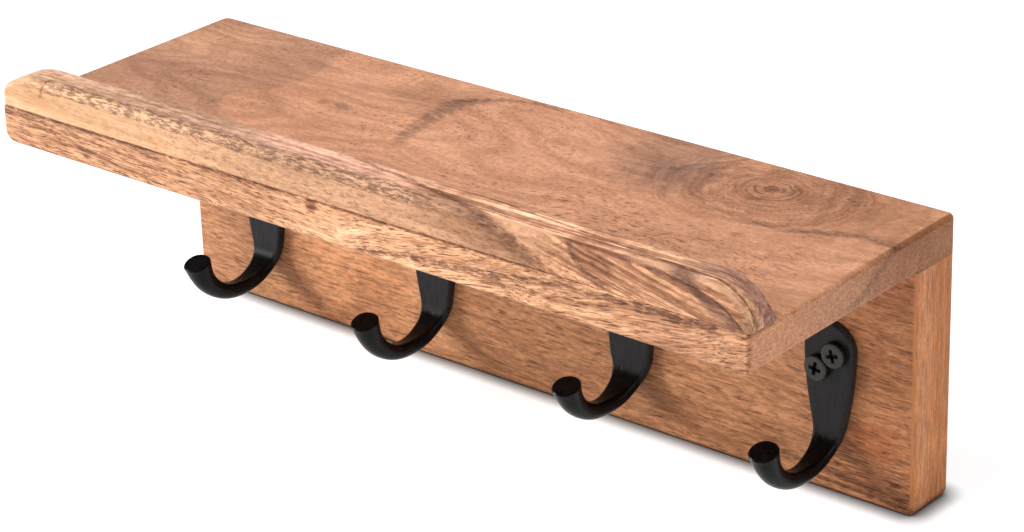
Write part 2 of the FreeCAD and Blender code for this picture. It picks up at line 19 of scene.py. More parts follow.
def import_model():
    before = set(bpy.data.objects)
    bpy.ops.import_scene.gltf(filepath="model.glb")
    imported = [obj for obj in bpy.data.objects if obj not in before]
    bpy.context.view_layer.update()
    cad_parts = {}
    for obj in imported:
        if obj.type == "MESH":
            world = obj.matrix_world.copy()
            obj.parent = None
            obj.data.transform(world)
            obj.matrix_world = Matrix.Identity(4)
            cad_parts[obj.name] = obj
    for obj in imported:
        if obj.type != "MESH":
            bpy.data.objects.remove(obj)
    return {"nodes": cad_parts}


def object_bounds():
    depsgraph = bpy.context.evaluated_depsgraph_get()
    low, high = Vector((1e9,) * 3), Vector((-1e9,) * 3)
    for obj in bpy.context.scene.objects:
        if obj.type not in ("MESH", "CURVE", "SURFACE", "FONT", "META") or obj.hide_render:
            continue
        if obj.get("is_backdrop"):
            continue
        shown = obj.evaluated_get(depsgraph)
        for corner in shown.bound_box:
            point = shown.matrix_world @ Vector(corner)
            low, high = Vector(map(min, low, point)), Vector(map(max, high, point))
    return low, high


LOG = logging.getLogger("wall_shelf")

MM_PER_M = 1000.0
LAYER_SHIFT = 17.0
WHITE = 1.0
BLACK = 0.0

Colour = Union[float, Tuple[float, float, float]]
Point = Tuple[float, float]
Points = Tuple[Point, ...]
Key = Union[str, int]
Nodes = Dict[str, bpy.types.Object]
Operator = Callable[[Any, Any], Any]


def operator_pair(operation: str) -> Tuple[Operator, Operator]:
    """The two methods of one arithmetic operator.

    Args:
        operation: the node's operation.

    Returns:
        The method for a signal on the operator's left, and the reflected one for a signal on its right.
    """
    def forward(self: Signal, other: Operand) -> Signal:
        """This signal, then the other operand."""
        return self.graph.arithmetic(operation, self, other)

    def reflected(self: Signal, other: Operand) -> Signal:
        """The other operand, then this signal."""
        return self.graph.arithmetic(operation, other, self)

    return forward, reflected


class Signal:
    """A socket of a material's graph. Arithmetic on it adds Math or Vector Math nodes."""

    def __init__(self, graph: Graph, socket: bpy.types.NodeSocket) -> None:
        """Wraps one output socket."""
        self.graph = graph
        self.socket = socket

    __add__, __radd__ = operator_pair("ADD")
    __sub__, __rsub__ = operator_pair("SUBTRACT")
    __mul__, __rmul__ = operator_pair("MULTIPLY")
    __truediv__, __rtruediv__ = operator_pair("DIVIDE")
    __pow__, __rpow__ = operator_pair("POWER")

    def __abs__(self) -> Signal:
        """This without its sign."""
        return self.graph.add("ShaderNodeMath", {0: self}, operation="ABSOLUTE")


Operand = Union[Signal, float, Tuple[float, ...]]
Inputs = Dict[Key, Operand]


def triple(value: Operand) -> Operand:
    """A number three times over, as a grey or an even vector; anything else as it is."""
    return (value, value, value) if isinstance(value, (int, float)) else value


class Graph:
    """The node graph of one material, with a method for each kind of step."""

    def __init__(self, tree: bpy.types.NodeTree) -> None:
        """Takes over a node tree and empties it."""
        self.tree = tree
        self.tree.nodes.clear()

    def add(self, kind: str, inputs: Inputs, output: Key = 0, **settings: Any) -> Signal:
        """Adds one node of any type and gives the wanted one of its outputs."""
        return Signal(self, self._node(kind, inputs, settings).outputs[output])

    def end(self, kind: str, shader: Signal) -> None:
        """Adds an output node and links the shader to it."""
        self._node(kind, {"Surface": shader}, {})

    def _node(self, kind: str, inputs: Inputs, settings: Dict[str, Any]) -> bpy.types.Node:
        """Makes a node, sets it and links it.

        Args:
            kind: the node's type.
            inputs: values or signals by socket name or number.
            settings: its properties, set first; "points" are a curve's points.

        Returns:
            The node.
        """
        node = self.tree.nodes.new(kind)
        for name, value in settings.items():
            if name == "points":
                self._set_points(node, value)
            else:
                setattr(node, name, value)
        for key, value in inputs.items():
            socket = node.inputs[key]
            if isinstance(value, Signal):
                self.tree.links.new(value.socket, socket)
            elif socket.type == "RGBA":
                socket.default_value = (*triple(value), 1)
            else:
                socket.default_value = value
        return node

    @staticmethod
    def _set_points(node: bpy.types.Node, points: Sequence[Point]) -> None:
        """Gives a curve node its points.

        Args:
            node: a Float Curve node.
            points: two or more points in rising order, from 0 to 1 both ways.
        """
        curve = node.mapping.curves[0]
        while len(curve.points) < len(points):
            curve.points.new(0.5, 0.5)
        for target, place in zip(curve.points, points):
            target.location = place
            target.handle_type = "AUTO"
        node.mapping.update()

    def arithmetic(self, operation: str, first: Operand, second: Operand) -> Signal:
        """Adds a Math node for values, or a Vector Math node where a vector takes part.

        Args:
            operation: the node's operation.
            first: its first operand.
            second: its second operand.

        Returns:
            The result.
        """
        if not self._is_vector(first) and not self._is_vector(second):
            return self.add("ShaderNodeMath", {0: first, 1: second}, operation=operation)
        return self.add("ShaderNodeVectorMath", {0: triple(first), 1: triple(second)}, operation=operation)

    @staticmethod
    def _is_vector(operand: Operand) -> bool:
        """True for a tuple or a vector socket."""
        return isinstance(operand, tuple) or isinstance(operand, Signal) and operand.socket.type == "VECTOR"

    def larger(self, first: Operand, second: Operand) -> Signal:
        """The larger of two values."""
        return self.arithmetic("MAXIMUM", first, second)

    def step(self, value: Operand, low: float, high: float, way: str = "SMOOTHSTEP") -> Signal:
        """A step from 0 at low to 1 at high."""
        inputs = {"Value": value, "From Min": low, "From Max": high}
        return self.add("ShaderNodeMapRange", inputs, interpolation_type=way, clamp=True)

    def noise(self, place: Signal, detail: float = 2.0, roughness: float = 0.5) -> Signal:
        """Smooth noise about 0.5 with a cell size of one unit of the place, and with finer layers on it."""
        inputs = {"Vector": place, "Scale": 1, "Detail": detail, "Roughness": roughness}
        return self.add("ShaderNodeTexNoise", inputs)

    def vector(self, x: Operand, y: Operand, z: Operand) -> Signal:
        """A vector from three values."""
        return self.add("ShaderNodeCombineXYZ", {0: x, 1: y, 2: z})

    def mix(self, factor: Operand, first: Operand, second: Operand) -> Signal:
        """A colour between two: factor 0 gives the first and 1 the second."""
        return self._blend("MIX", factor, first, second)

    def stain(self, factor: Operand, base: Operand, colour: Operand) -> Signal:
        """A colour seen through a stain, which makes it lighter where it is above 1."""
        return self._blend("MULTIPLY", factor, base, colour)

    def _blend(self, way: str, factor: Operand, first: Operand, second: Operand) -> Signal:
        """A Mix node on colours, with its sockets by number because their names repeat."""
        inputs = {0: factor, 6: first, 7: second}
        return self.add("ShaderNodeMix", inputs, 2, data_type="RGBA", blend_type=way, clamp_factor=True)

    def curve(self, value: Signal, points: Sequence[Point]) -> Signal:
        """A smooth curve through points, held level beyond its ends.

        Args:
            value: the position along the curve.
            points: (position, height) pairs in rising order.

        Returns:
            The curve's height.
        """
        start, end = points[0][0], points[-1][0]
        low = min(height for _, height in points)
        rise = max(max(height for _, height in points) - low, 1)
        share = self.step(value, start, end, "LINEAR")
        unit = [((along - start) / (end - start), (height - low) / rise) for along, height in points]
        bend = self.add("ShaderNodeFloatCurve", {"Factor": 1, "Value": share}, points=unit)
        return bend * rise + low


def new_material(name: str) -> Tuple[bpy.types.Material, Graph]:
    """Makes an empty material.

    Args:
        name: its name.

    Returns:
        The material and its graph.
    """
    material = bpy.data.materials.new(name)
    material.use_nodes = True
    return material, Graph(material.node_tree)


class Place:
    """Where a point lies: its coordinates in millimetres, its facing, and noises that the marks share."""

    def __init__(self, graph: Graph) -> None:
        """Adds the coordinate nodes and the shared noises.

        Args:
            graph: the graph that is built.
        """
        self.graph = graph
        self.point = graph.add("ShaderNodeTexCoord", {}, "Object") * MM_PER_M
        self.x, self.y, self.z = (
            graph.add("ShaderNodeSeparateXYZ", {0: self.point}, name) for name in ("X", "Y", "Z"))
        normal = graph.add("ShaderNodeTexCoord", {}, "Normal")
        self.endwise = abs(graph.add("ShaderNodeSeparateXYZ", {0: normal}, "X"))
        self.tremble = graph.noise(self.point * (0.22, 0.8, 0.8), 3, 0.7) - 0.5
        self.ragged = graph.noise(self.point * 0.16, 3, 0.6) - 0.5
        self.patchy = graph.noise(self.point * (0.42, 1.2, 1.2) + (9, 2, 5), 3, 0.7) * 4.6 - 1.4

    def axis(self, name: str) -> Signal:
        """One coordinate by its name."""
        return getattr(self, name)


class Plane(Enum):
    """The two directions in which a mark is drawn: along it and across it."""

    TOP = ("x", "y")
    TOP_ACROSS = ("y", "x")
    FRONT = ("x", "z")
    FRONT_ACROSS = ("z", "x")
    END = ("y", "z")

    def along(self, place: Place) -> Signal:
        """The coordinate along the mark."""
        return place.axis(self.value[0])

    def across(self, place: Place) -> Signal:
        """The coordinate across the mark."""
        return place.axis(self.value[1])


@dataclass(frozen=True)
class Zone:
    """A part of a board between two planes, with soft limits."""

    axis: str
    low: float
    high: float
    soft: float = 1.0

    def mask(self, place: Place) -> Signal:
        """The zone as a value from 0 outside to 1 inside."""
        value, step = place.axis(self.axis), place.graph.step
        return step(value, self.low - self.soft, self.low) - step(value, self.high, self.high + self.soft)


Zones = Tuple[Zone, ...]
RIGHT_END = Zone("x", 126.0, 130.0, 0.8)


@dataclass(frozen=True)
class Mark:
    """A part of a board in another tone. The stain multiplies the colour where the mark is strongest."""

    stain: Colour
    plane: Plane = field(default=Plane.FRONT, kw_only=True)
    strength: float = field(default=1.0, kw_only=True)
    zones: Zones = field(default=(), kw_only=True)

    def shape(self, place: Place) -> Signal:
        """The mark before its strength and zones: soft clouds."""
        return place.ragged * 1.2 + 1

    def mask(self, place: Place) -> Signal:
        """The mark's strength over the board, 0 off the mark."""
        return math.prod((zone.mask(place) for zone in self.zones), start=self.shape(place) * self.strength)


Marks = Tuple[Mark, ...]


@dataclass(frozen=True)
class Streak(Mark):
    """A line along a curve through a few points, with a half width at each end."""

    points: Points
    width: Point
    fray: float = 1.0
    fade: float = 4.0
    broken: float = 1.0

    def shape(self, place: Place) -> Signal:
        """1 on the line and 0 off it, broken up along its length.

        Args:
            place: the coordinates.

        Returns:
            The streak.
        """
        graph = place.graph
        along = self.plane.along(place)
        start, end = self.points[0][0], self.points[-1][0]
        line = graph.curve(along, self.points) - place.tremble * (2 * self.fray)
        offset = abs(self.plane.across(place) - line)
        share = (along - start) / (end - start)
        width = graph.larger(share * (self.width[1] - self.width[0]) + self.width[0], min(self.width))
        body = 1 - graph.step(offset / width, 0.1, 1)
        ends = Zone(self.plane.value[0], start + self.fade, end - self.fade, self.fade)
        return body * ends.mask(place) * (place.patchy * self.broken + (1 - self.broken))


@dataclass(frozen=True)
class Patch(Mark):
    """A soft oval."""

    centre: Point
    radii: Point
    tilt_deg: float = 0.0

    def shape(self, place: Place) -> Signal:
        """1 in the middle of the oval and 0 outside it.

        Args:
            place: the coordinates.

        Returns:
            The patch.
        """
        turn = math.radians(self.tilt_deg)
        along = self.plane.along(place) - self.centre[0]
        across = self.plane.across(place) - self.centre[1]
        long_way = (along * math.cos(turn) + across * math.sin(turn)) / self.radii[0]
        short_way = (across * math.cos(turn) - along * math.sin(turn)) / self.radii[1]
        distance = long_way * long_way + short_way * short_way + place.ragged * 1.2
        return 1 - place.graph.step(distance, 0, 1)


@dataclass(frozen=True)
class Field(Mark):
    """One side of a curved border: side 1 where the cross coordinate is larger, -1 where it is smaller."""

    border: Points
    side: float
    soft: float

    def shape(self, place: Place) -> Signal:
        """1 well past the border and 0 before it."""
        past = self.plane.across(place) - place.graph.curve(self.plane.along(place), self.border)
        return place.graph.step(past * self.side + place.ragged * (4 * self.soft), -self.soft, self.soft)


@dataclass(frozen=True)
class Knot(Mark):
    """A knot in the top, with rings round its heart. The grain runs round its eye."""

    centre: Point
    radius: float
    eye_radius: float
    stretch: float
    ring_count: float

    def offset(self, place: Place) -> Tuple[Signal, Signal]:
        """Millimetres from the knot's heart across the grain, and along it, where they are shortened."""
        return place.y - self.centre[1], (place.x - self.centre[0]) / self.stretch

    def distance(self, place: Place) -> Signal:
        """Millimetres from the knot's heart, shortened along the grain."""
        across, along = self.offset(place)
        return (along * along + across * across) ** 0.5

    def shape(self, place: Place) -> Signal:
        """1 on the rings and in the heart, 0 between and outside them.

        Args:
            place: the coordinates.

        Returns:
            The rings.
        """
        graph = place.graph
        reach = self.distance(place) / self.radius + place.ragged * 0.25 + place.tremble * 0.06
        spot = graph.vector(reach * (2 * self.ring_count), place.x * 0.08, place.y * 0.12)
        rings = graph.step(graph.noise(spot, 1), 0.46, 0.62) * (1 - graph.step(reach, 0.55, 1.3))
        heart = 1 - graph.step(reach, 0.04, 0.2)
        return graph.larger(rings * 0.85, heart)

    def eye(self, place: Place) -> Signal:
        """1 where the grain runs round the knot, 0 where it runs straight."""
        ragged = self.distance(place) + place.ragged * 12
        return 1 - place.graph.step(ragged, 0.5 * self.eye_radius, 1.25 * self.eye_radius)

    def round_flow(self, place: Place) -> Signal:
        """Millimetres round the knot, out from its heart, and through the board."""
        turn = place.graph.arithmetic("ARCTAN2", *self.offset(place)) * self.eye_radius
        return place.graph.vector(turn, self.distance(place) + place.ragged * 6, place.z)


class Grain:
    """The coordinates that a board's figure follows: gently wavy, and round where a knot's eye is."""

    def __init__(self, place: Place, waviness: Point, knots: Tuple[Knot, ...]) -> None:
        """Adds the coordinates to a graph.

        Args:
            place: the coordinates.
            waviness: how far the straight grain wanders in depth and in height, in millimetres.
            knots: the knots that turn it.
        """
        graph = place.graph
        self.place = place
        across, through = waviness
        drift = graph.noise(place.point * (0.015, 0.03, 0.03), 2) - 0.5
        ripple = (graph.noise(place.point * (0.08, 0.18, 0.18), 2) - 0.5) * (0.25 * through)
        depth = place.y + drift * across + ripple
        height = place.z - drift * through + ripple
        self.straight = graph.vector(place.x, depth, height)
        self.turns = [(knot.round_flow(place), knot.eye(place)) for knot in knots]

    def noise(self, figure: Figure) -> Signal:
        """The noise of a layer of figure, stretched along the grain.

        Args:
            figure: the layer.

        Returns:
            A value about 0.5.
        """
        graph = self.place.graph
        scale = figure.scale
        shift = tuple(LAYER_SHIFT * part for part in scale[::-1])
        lean = graph.vector(0, self.place.x * figure.slope[0], self.place.x * figure.slope[1])
        value = graph.noise((self.straight + lean) * scale + shift, figure.detail, figure.roughness)
        for flow, eye in self.turns:
            turned = graph.noise(flow * scale + shift, figure.detail, figure.roughness)
            value = value + (turned - value) * eye
        return value


@dataclass(frozen=True)
class Wash:
    """A gradual change to another colour along one axis."""

    axis: str
    start: float
    end: float
    colour: Colour


@dataclass(frozen=True)
class Figure:
    """A layer of noise along the grain, from a light stain where it is low to a dark one where it is high.

    The scale is in cells per millimetre along, across and through the board. The slope is how much the
    grain leans in depth and in height. Crowds gather the layer in clouds. Rings make contour lines of it.
    """

    scale: Tuple[float, float, float]
    low: float
    high: float
    dark: Colour
    light: Colour = WHITE
    zones: Zones = ()
    detail: float = 3.0
    roughness: float = 0.6
    slope: Point = (0.0, 0.0)
    strength: float = 1.0
    crowd_mm: float = 0.0
    rings: float = 0.0

    def level(self, grain: Grain) -> Signal:
        """The noise of the layer.

        Args:
            grain: the coordinates that it follows.

        Returns:
            A value from 0 for light to 1 for dark.
        """
        graph = grain.place.graph
        value = grain.noise(self)
        if self.rings:
            turns = value * (math.tau * self.rings)
            value = graph.add("ShaderNodeMath", {0: turns}, operation="SINE") * 0.5 + 0.5
        return graph.step(value, self.low, self.high)

    def factor(self, place: Place) -> Operand:
        """The layer's strength over the board.

        Args:
            place: the coordinates.

        Returns:
            A value from 0 to 1.
        """
        result: Operand = self.strength
        if self.crowd_mm:
            crowds = place.graph.noise(place.point * (1 / self.crowd_mm), 2)
            result = place.graph.step(crowds, 0.4, 0.62) * result
        return math.prod((zone.mask(place) for zone in self.zones), start=result)

    def over(self, grain: Grain, colour: Operand, share: Operand = 1.0) -> Signal:
        """Puts a share of the layer, from 0 to 1, over a colour."""
        tone = grain.place.graph.mix(self.level(grain), self.light, self.dark)
        return grain.place.graph.stain(self.factor(grain.place) * share, colour, tone)


Figures = Tuple[Figure, ...]


@dataclass(frozen=True)
class WoodFinish:
    """Oiled solid wood: a ground tone, layers of figure, the board's own marks, and open pores."""

    name: str
    ground: Colour
    washes: Tuple[Wash, ...] = ()
    figures: Figures = ()
    marks: Marks = ()
    pores: Figures = ()
    knots: Tuple[Knot, ...] = ()
    end_grain: Figures = ()
    waviness: Point = (5.0, 5.0)
    roughness: float = 0.5
    shine: float = 0.3
    pore_depth_m: float = 0.0001
    pore_strength: float = 0.2

    def material(self) -> bpy.types.Material:
        """Builds the finish.

        Returns:
            The material.
        """
        material, graph = new_material(self.name)
        place = Place(graph)
        grain = Grain(place, self.waviness, self.knots)
        colour = self._ground(place)
        for mark in self.marks + self.knots:
            colour = graph.stain(mark.mask(place), colour, mark.stain)
        for figure in self.figures + self.pores:
            colour = figure.over(grain, colour)
        endwise = graph.step(place.endwise, 0.5, 0.9)
        for figure in self.end_grain:
            colour = figure.over(grain, colour, endwise)
        height: Operand = 0.5
        for pore in self.pores:
            height = height - pore.level(grain) * pore.factor(place)
        bump = graph.add("ShaderNodeBump", {
            "Strength": self.pore_strength, "Distance": self.pore_depth_m, "Height": height}, "Normal")
        shader = graph.add("ShaderNodeBsdfPrincipled", {
            "Base Color": colour, "Roughness": self.roughness, "Normal": bump,
            "Specular IOR Level": self.shine})
        graph.end("ShaderNodeOutputMaterial", shader)
        return material

    def _ground(self, place: Place) -> Operand:
        """The ground tone with its washes.

        Args:
            place: the coordinates.

        Returns:
            The colour.
        """
        colour: Operand = self.ground
        for wash in self.washes:
            ragged = place.axis(wash.axis) + place.ragged * (0.5 * (wash.end - wash.start))
            share = place.graph.step(ragged, wash.start, wash.end)
            colour = place.graph.mix(share, colour, wash.colour)
        return colour


@dataclass(frozen=True)
class MetalFinish:
    """Painted or plated metal with a fine grained surface and a few marks."""

    name: str
    base: Colour
    light: Colour
    metallic: float
    roughness: float
    grain_mm: float
    bump_strength: float
    marks: Marks = ()
    dents: Marks = ()
    shine: float = 0.2
    grain_depth_m: float = 0.0001
    dent_depth: float = 4.0

    def material(self) -> bpy.types.Material:
        """Builds the finish.

        Returns:
            The material.
        """
        material, graph = new_material(self.name)
        place = Place(graph)
        grain = graph.noise(place.point * (1 / self.grain_mm), 3, 0.6)
        cloud = graph.noise(place.point * (0.5, 0.35, 0.12), 3, 0.6)
        colour = graph.mix(graph.step(cloud, 0.35, 0.75), self.base, self.light)
        # A dent darkens the colour as well as the height: painted shade in its hollow.
        for mark in self.marks + self.dents:
            colour = graph.stain(mark.mask(place), colour, mark.stain)
        height = grain
        for dent in self.dents:
            height = height - dent.mask(place) * self.dent_depth
        rough = (grain - 0.5) * 0.12 + (cloud - 0.5) * 0.3 + self.roughness
        bump = graph.add("ShaderNodeBump", {
            "Strength": self.bump_strength, "Distance": self.grain_depth_m, "Height": height}, "Normal")
        shader = graph.add("ShaderNodeBsdfPrincipled", {
            "Base Color": colour, "Roughness": rough, "Normal": bump, "Metallic": self.metallic,
            "Specular IOR Level": self.shine})
        graph.end("ShaderNodeOutputMaterial", shader)
        return material


def dress(nodes: Nodes, name: str, material: bpy.types.Material) -> None:
    """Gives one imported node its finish.

    Args:
        nodes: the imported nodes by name.
        name: the node.
        material: its finish.
    """
    slots = nodes[name].data.materials
    slots.clear()
    slots.append(material)
    LOG.info("dressed %s with %s", name, material.name)


@dataclass(frozen=True)
class ShelfBoard:
    """The level board: a plain top with a knot, and a front edge full of open pores."""

    front: float = -88.9
    top: float = 44.7
    bottom: float = 34.2
    ground: Colour = (0.675, 0.328, 0.188)
    brown: Colour = (0.52, 0.52, 0.54)
    dark: Colour = (0.52, 0.45, 0.41)

    def dress(self, nodes: Nodes) -> None:
        """Gives the board its finish.

        Args:
            nodes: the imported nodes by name.
        """
        marks = self._top_spots() + self._top_streaks() + self._edge_marks() + self._end_marks()
        speckle = Figure((0.1, 0.8, 1.6), 0.34, 0.66, (0.66, 0.6, 0.55), (1.2, 1.2, 1.18), (), 4, 0.8)
        finish = WoodFinish("shelf_wood", self.ground, (), self._figures(), marks, self._pores(),
                            (self._knot(),), (speckle,), (20, 5))
        dress(nodes, "shelf_board", finish.material())

    def _edge(self) -> Zones:
        """The front edge."""
        return (Zone("y", self.front - 1, self.front + 1, 0.8),)

    def _upper(self) -> Zones:
        """The top face."""
        return (Zone("z", self.top - 0.8, self.top + 1, 0.6),)

    def _halves(self) -> Tuple[Tuple[Zone, Point], ...]:
        """The two halves of the front edge, each with the lean of its grain."""
        return (Zone("x", -140, -8, 14), (0, 0.05)), (Zone("x", 6, 140, 14), (0, -0.16))

    def _figures(self) -> Figures:
        """The layers of figure, from broad clouds to fine fibres.

        Returns:
            The layers.
        """
        upper = self._upper()
        eye = upper + (Zone("x", 44, 104, 14), Zone("y", -34, 5, 10))
        rear = (Zone("y", -0.8, 5, 0.6),)
        under = (Zone("z", self.bottom - 1, self.bottom + 0.3, 0.4),)
        return (
            Figure((0.016, 0.035, 0.035), 0.35, 0.7, (0.86, 0.83, 0.8), 1.05),
            Figure((0.02, 0.42, 0.35), 0.35, 0.7, (0.9, 0.88, 0.86), (1.05, 1.06, 1.07)),
            Figure((0.009, 0.026, 0.02), 0.3, 1, (0.89, 0.86, 0.83), 1.03, upper, 2, 0.35,
                   rings=15),
            Figure((0.02, 0.85, 0.35), 0.38, 0.66, (0.78, 0.72, 0.67), (1.07, 1.08, 1.08), eye),
            Figure((0.6, 1, 1.6), 0.32, 0.7, (0.8, 0.76, 0.73), (1.13, 1.14, 1.15), upper, 4, 0.75),
            Figure((0.12, 0.9, 1.4), 0.34, 0.68, (0.7, 0.63, 0.58), 1.14, rear, 4, 0.75),
            Figure((0.12, 1.2, 1.4), 0.34, 0.68, (0.72, 0.65, 0.6), 1.12, under, 4, 0.75),
        ) + tuple(figure for half, slope in self._halves() for figure in self._edge_figures(half, slope))

    def _edge_figures(self, half: Zone, slope: Point) -> Figures:
        """Broad and fine lines on one half of the front edge.

        Args:
            half: the half.
            slope: the lean of its grain.

        Returns:
            The layers.
        """
        zones = self._edge() + (half,)
        return (
            Figure((0.02, 0.3, 0.5), 0.4, 0.66, (0.8, 0.73, 0.68), 1.08, zones, slope=slope),
            Figure((0.16, 0.9, 2), 0.36, 0.66, (0.54, 0.46, 0.4), (1.24, 1.24, 1.22), zones, 4, 0.75, slope),
        )

    def _pores(self) -> Figures:
        """Open pores: faint on top, dark and crowded on the front edge.

        Returns:
            The layers.
        """
        upper = self._upper()
        front_right = upper + (Zone("x", 45, 105, 20), Zone("y", -80, -46, 10))
        return (
            Figure((0.6, 1.15, 2), 0.56, 0.7, (0.48, 0.4, 0.35), zones=upper, detail=2, crowd_mm=22),
            Figure((0.35, 1, 2), 0.53, 0.68, (0.48, 0.41, 0.37), zones=front_right, detail=2),
        ) + tuple(
            Figure((0.22, 1.5, 2.4), 0.53, 0.66, (0.3, 0.23, 0.19), zones=self._edge() + (half,),
                   detail=2, slope=slope)
            for half, slope in self._halves())

    def _knot(self) -> Knot:
        """The round knot near the right rear corner."""
        return Knot((0.36, 0.27, 0.22), centre=(81.3, -14.7), radius=9.4, eye_radius=34, stretch=1.15,
                    ring_count=6, strength=0.85, zones=self._upper())

    def _top_spots(self) -> Marks:
        """The clouds and the small smudges of the top face, with a patch of painted light behind the lip.

        Returns:
            The marks.
        """
        # Each row gives stain, centre and radii, and a tilt where there is one.
        spots = (
            ((1.14, 1.16, 1.12), (-110, -17), (24, 14)),
            ((0.84, 0.8, 0.82), (-114, -45), (24, 15)),
            ((0.76, 0.74, 0.7), (94, -13), (42, 26)),
            # Painted light: this lighter oval behind the lip's left half lifts the shade that the lip casts
            # on the top.
            ((1.13, 1.13, 1.14), (-60, -64), (34, 16)),
            ((0.93, 0.9, 0.86), (118, -10), (24, 20)),
            ((0.7, 0.72, 0.77), (49, -9), (25, 28)),
            ((0.74, 0.76, 0.8), (54, -22), (15, 17), -40),
            ((0.84, 0.82, 0.82), (-33, -16), (16, 13)),
            ((0.6, 0.64, 0.72), (-48.7, -35), (5, 2.4), -20),
            ((0.74, 0.68, 0.66), (-55.3, -35.3), (3, 2.4)),
            ((0.84, 0.84, 0.86), (-53.7, -22.5), (6, 3)),
            ((0.86, 0.8, 0.76), (15.5, -20.8), (4, 3.4)),
            (self.brown, (52, -18), (2.4, 2)),
        )
        return tuple(Patch(*spot, plane=Plane.TOP, zones=self._upper()) for spot in spots)

    def _top_streaks(self) -> Marks:
        """The border of the duller left end and the dark streaks of the top face.

        Returns:
            The marks.
        """
        upper = self._upper()
        border = ((-60, -65), (-50, -79), (-43, -80), (-38, -75), (-25, -72), (-10, -75),
                  (0, -77))
        bow = ((-52, -15.5), (-40, -20.7), (-31.7, -22.3), (-23, -24), (-16.7, -24), (-11.7, -22),
               (-2, -13))
        branch = ((-30, -17), (-22, -11), (-17, -6.7), (-10.3, -3.6), (6, -1.4))
        wave = ((64, -25.5), (73, -30.8), (81.3, -33.3), (89.7, -34.2), (98, -33.3), (106.3, -30.3),
                (113, -27.5), (119.7, -26), (132, -28))
        arc = ((-29, 68), (-20, 63.5), (-14, 62.3), (-7, 62.8), (3, 66))
        far_right = Zone("x", 112, 140, 60)
        return (
            Field((0.8, 0.83, 0.86), border, -1, 1.6, plane=Plane.TOP_ACROSS, zones=upper),
            Streak(self.brown, bow, (2.6, 7), 3.4, 9, plane=Plane.TOP_ACROSS, zones=upper),
            Streak((0.6, 0.56, 0.55), branch, (2.6, 1.8), 1.4, 5, plane=Plane.TOP, zones=upper),
            Streak(self.brown, wave, (1.8, 3), 1.6, plane=Plane.TOP, zones=upper + (far_right,)),
            Streak((0.8, 0.66, 0.6), arc, (2, 2.4), 2, plane=Plane.TOP_ACROSS, zones=upper, strength=0.7),
        )

    def _edge_marks(self) -> Marks:
        """The dark lines, the small blemish and the tones of the front edge.

        Returns:
            The marks.
        """
        edge = self._edge()
        upper_left = ((-129, 43.6), (-118.7, 42.8), (-112.8, 41.4), (-102, 40.7), (-93.7, 38.9), (-86, 39.2))
        middle_left = ((-124, 43.9), (-106, 42.8), (-93.7, 41.9), (-77, 40.7), (-63.7, 39.9), (-52, 40.9))
        lower_left = ((-110, 38.6), (-93.7, 38.6), (-80, 36.9), (-65, 36.4))
        seam = ((-165, 44.6), (-20, 44.6), (30, 44.6), (80, 44.6))
        rise = ((3, 34.6), (25, 37.6), (50, 39.7), (63.3, 41.8), (75, 42.6), (91.7, 43.5), (121, 43.9))
        low_rise = ((42, 37.2), (60, 38.5), (88, 40.6))
        return (
            Streak(self.dark, upper_left, (0.8, 0.9), 0.9, zones=edge),
            Streak(self.dark, middle_left, (0.9, 0.9), 0.9, zones=edge),
            Streak(self.dark, lower_left, (0.7, 0.7), 0.9, zones=edge),
            Streak((0.34, 0.28, 0.25), rise, (1.4, 1.8), 1.4, zones=edge),
            Streak(self.dark, low_rise, (1, 1), 1, zones=edge, strength=0.8),
            Streak((0.36, 0.24, 0.17), seam, (0.7, 0.5), 0.2, 30, zones=edge),
            Patch((0.5, 0.36, 0.28), (-10.7, 43.2), (2.4, 2.2), zones=edge),
            Mark((1.16, 1.31, 1.29), zones=edge),
            Mark((0.92, 0.9, 0.89), zones=edge + (Zone("x", -60, -30, 20),)),
            Mark((1.27, 1.32, 1.37), zones=edge + (Zone("x", -12, 36, 22),)),
            Mark((0.82, 0.78, 0.78), zones=edge + (Zone("x", 100, 130, 20),)),
        )

    def _end_marks(self) -> Marks:
        """The right end: lighter in front, darker behind, with the top's long streak running down it.

        Returns:
            The marks.
        """
        wave = ((-52, 34), (-40, 38.5), (-32, 42.5), (-24, 46.5))
        return (
            Mark((1.13, 1.1, 1.06), zones=(RIGHT_END, Zone("y", -95, -76, 22))),
            Mark((0.54, 0.43, 0.29), zones=(RIGHT_END, Zone("y", -16, 5, 45))),
            Streak(self.brown, wave, (2.4, 1.8), 1.2, plane=Plane.END, zones=(RIGHT_END,), strength=0.6),
        )


